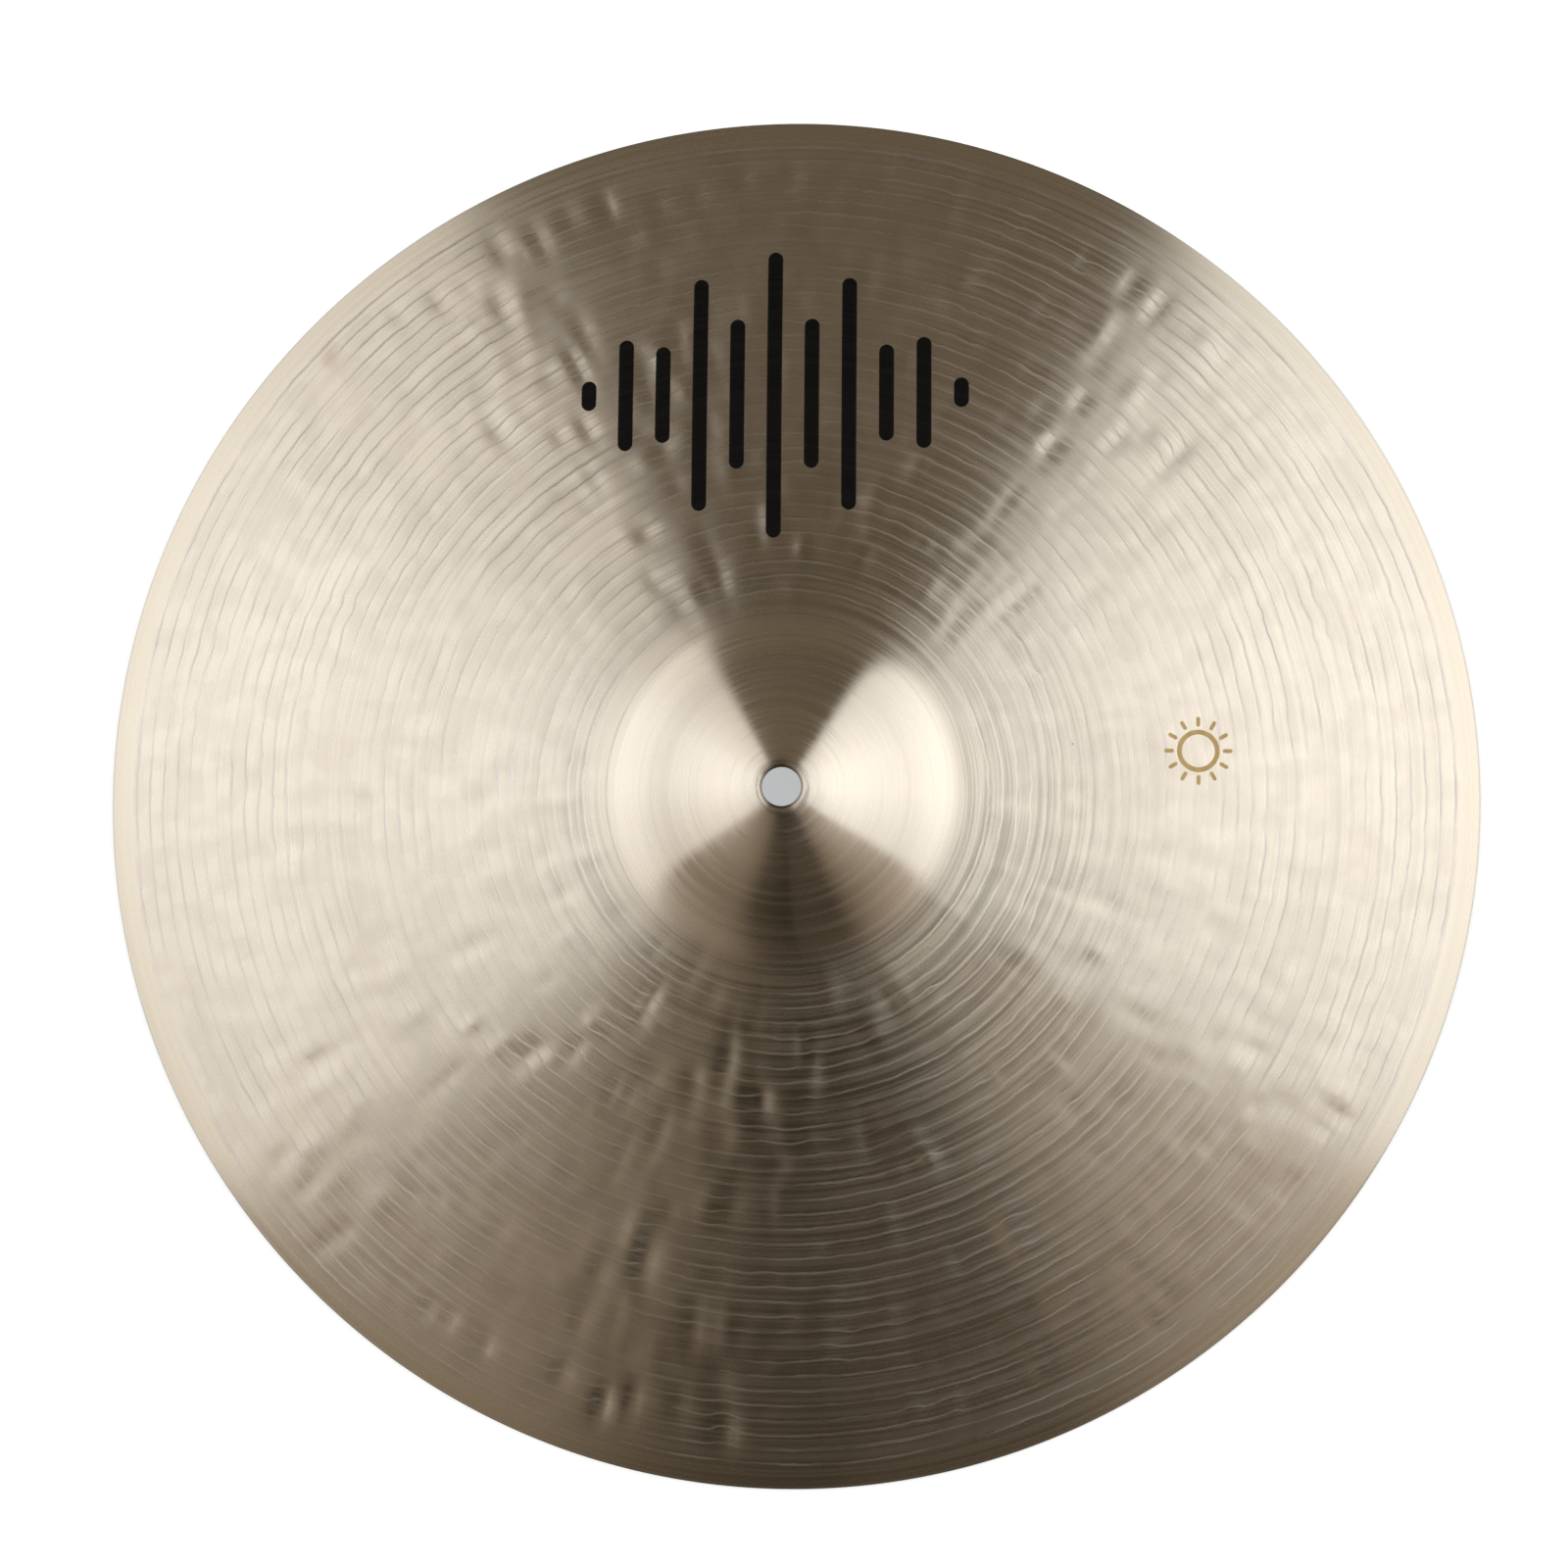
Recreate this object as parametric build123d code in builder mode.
from build123d import *

import os
from math import asin, cos, degrees, pi, radians, sin, tan

os.makedirs("parts", exist_ok=True)

# An 18 inch crash cymbal: one bronze plate with two marks printed on its bow.
# The origin is on the axis, on the surface that the rim rests on. +Z is the axis, bell up.

# Plate, in plan
rim_radius = 228.6
turn_radius = 152.0
hole_radius = 6.35

# Slope of the playing face, in degrees down from level going outward. The crown of the
# bell is level on the axis and falls off to its flank, a flare lays the flank over into the
# bow, and the bow falls off faster towards the rim. The bow's tangents at its two ends
# meet at the turn radius.
flank_slope = 37.0
bell_edge_slope = 2.5
rim_slope = 17.0
crown_radius = 70.0
flare_radius = 32.0

# The bell is of even thickness, and the bow thins towards the rim.
bell_thickness = 1.2
rim_thickness = 0.8
resting_land = 0.4
rim_round = 0.2
hole_chamfer = 0.15

# Ink, as one thickness over the face of the bow
ink_thickness = 0.1

# Black mark: a row of round-ended bars that rise and fall as a struck note does
black_centre = (-4.0, 133.0)
black_height = 98.0
bars_each_side = 5
bar_pitch = 12.4
bar_width = 5.0
offbeat_share = 0.55

# Gold mark: a ring with short rays around it
gold_centre = (135.2, 13.2)
ring_radius = 6.2
ring_width = 1.6
ray_count = 12
ray_length = 3.2
ray_width = 1.3
ray_centre_radius = 9.6


def slope_direction(slope):
    """Unit vector that points outward and down at this slope."""
    return (cos(radians(slope)), -sin(radians(slope)))


def fall(radius, slope, next_slope):
    """Height that an arc of this radius loses while its slope goes from one value to the other."""
    return radius * abs(cos(radians(slope)) - cos(radians(next_slope)))


# Radius of the bell's edge, where the flare meets the bow
flank_turn = sin(radians(flank_slope)) - sin(radians(bell_edge_slope))
bell_edge_radius = crown_radius * sin(radians(flank_slope)) + flare_radius * flank_turn

# Heights over the surface that the rim rests on
turn_height = rim_thickness + (rim_radius - turn_radius) * tan(radians(rim_slope))
bell_edge_height = turn_height + (turn_radius - bell_edge_radius) * tan(radians(bell_edge_slope))
bell_height = fall(crown_radius, 0, flank_slope) + fall(flare_radius, flank_slope, bell_edge_slope)
crown_height = bell_edge_height + bell_height

# The underside's bell has the same centres as the playing face's, one thickness inside it.
under_crown_radius = crown_radius - bell_thickness
under_flare_radius = flare_radius + bell_thickness
under_turn_height = turn_height - bell_thickness / cos(radians(bell_edge_slope))
hole_slope = degrees(asin(hole_radius / crown_radius))
under_hole_slope = degrees(asin(hole_radius / under_crown_radius))
hole_top = crown_height - fall(crown_radius, 0, hole_slope)
hole_bottom = crown_height - bell_thickness - fall(under_crown_radius, 0, under_hole_slope)

# The plate: cast, rolled, pressed, hammered and lathed in one piece of bronze.
# Its section runs out along the playing face, round the rim, and back along the underside.
with BuildPart() as cymbal_plate:
    with BuildSketch(Plane.XZ) as section:
        with BuildLine():
            crown = JernArc(
                (hole_radius, hole_top),
                slope_direction(hole_slope),
                crown_radius,
                hole_slope - flank_slope,
            )
            flare = JernArc(crown @ 1, crown % 1, flare_radius, flank_slope - bell_edge_slope)
            bow = Bezier(flare @ 1, (turn_radius, turn_height), (rim_radius, rim_thickness))
            under_crown = JernArc(
                (hole_radius, hole_bottom),
                slope_direction(under_hole_slope),
                under_crown_radius,
                under_hole_slope - flank_slope,
            )
            under_flare = JernArc(
                under_crown @ 1,
                under_crown % 1,
                under_flare_radius,
                flank_slope - bell_edge_slope,
            )
            under_bow = Bezier(
                under_flare @ 1, (turn_radius, under_turn_height), (rim_radius - resting_land, 0)
            )
            Polyline(under_bow @ 1, (rim_radius, 0), bow @ 1)
            Line(under_crown @ 0, crown @ 0)
        make_face()
        chamfer(section.vertices().group_by(Axis.X)[0], hole_chamfer)
        fillet(section.vertices().group_by(Axis.X)[-1].sort_by(Axis.Y)[-1], rim_round)
    revolve(axis=Axis.Z)
cymbal_plate.part.label = "cymbal_plate"
export_step(cymbal_plate.part, "parts/cymbal_plate.step")

# A layer of ink over the whole face of the bow, which each mark is cut out of
ink_rise = Vector(0, ink_thickness)
with BuildSketch(Plane.XZ) as ink_section:
    with BuildLine():
        bow_face = Bezier(flare @ 1, (turn_radius, turn_height), (rim_radius, rim_thickness))
        ink_face = Bezier(
            flare @ 1 + ink_rise,
            Vector(turn_radius, turn_height) + ink_rise,
            Vector(rim_radius, rim_thickness) + ink_rise,
        )
        Line(bow_face @ 0, ink_face @ 0)
        Line(bow_face @ 1, ink_face @ 1)
    make_face()

# Black screen-printed mark, one separate film for each bar. A bar's height follows a
# squared cosine from the middle out, and every second bar is shorter.
with BuildPart() as black_ink_mark:
    revolve(ink_section.sketch, axis=Axis.Z)
    with BuildSketch():
        Circle(rim_radius + resting_land)
        for step in range(-bars_each_side, bars_each_side + 1):
            envelope = cos(pi / 2 * step / (bars_each_side + 2)) ** 2
            share = offbeat_share if step % 2 else 1
            with Locations((black_centre[0] + step * bar_pitch, black_centre[1])):
                SlotOverall(black_height * envelope * share, bar_width, rotation=90, mode=Mode.SUBTRACT)
    extrude(amount=crown_height, mode=Mode.SUBTRACT)
black_ink_mark.part.label = "black_ink_mark"
export_step(black_ink_mark.part, "parts/black_ink_mark.step")

# Gold screen-printed mark, a ring with separate rays
with BuildPart() as gold_ink_mark:
    revolve(ink_section.sketch, axis=Axis.Z)
    with BuildSketch():
        Circle(rim_radius + resting_land)
        with Locations(gold_centre):
            Circle(ring_radius + ring_width / 2, mode=Mode.SUBTRACT)
            Circle(ring_radius - ring_width / 2)
            with PolarLocations(ray_centre_radius, ray_count):
                SlotOverall(ray_length, ray_width, mode=Mode.SUBTRACT)
    extrude(amount=crown_height, mode=Mode.SUBTRACT)
gold_ink_mark.part.label = "gold_ink_mark"
export_step(gold_ink_mark.part, "parts/gold_ink_mark.step")
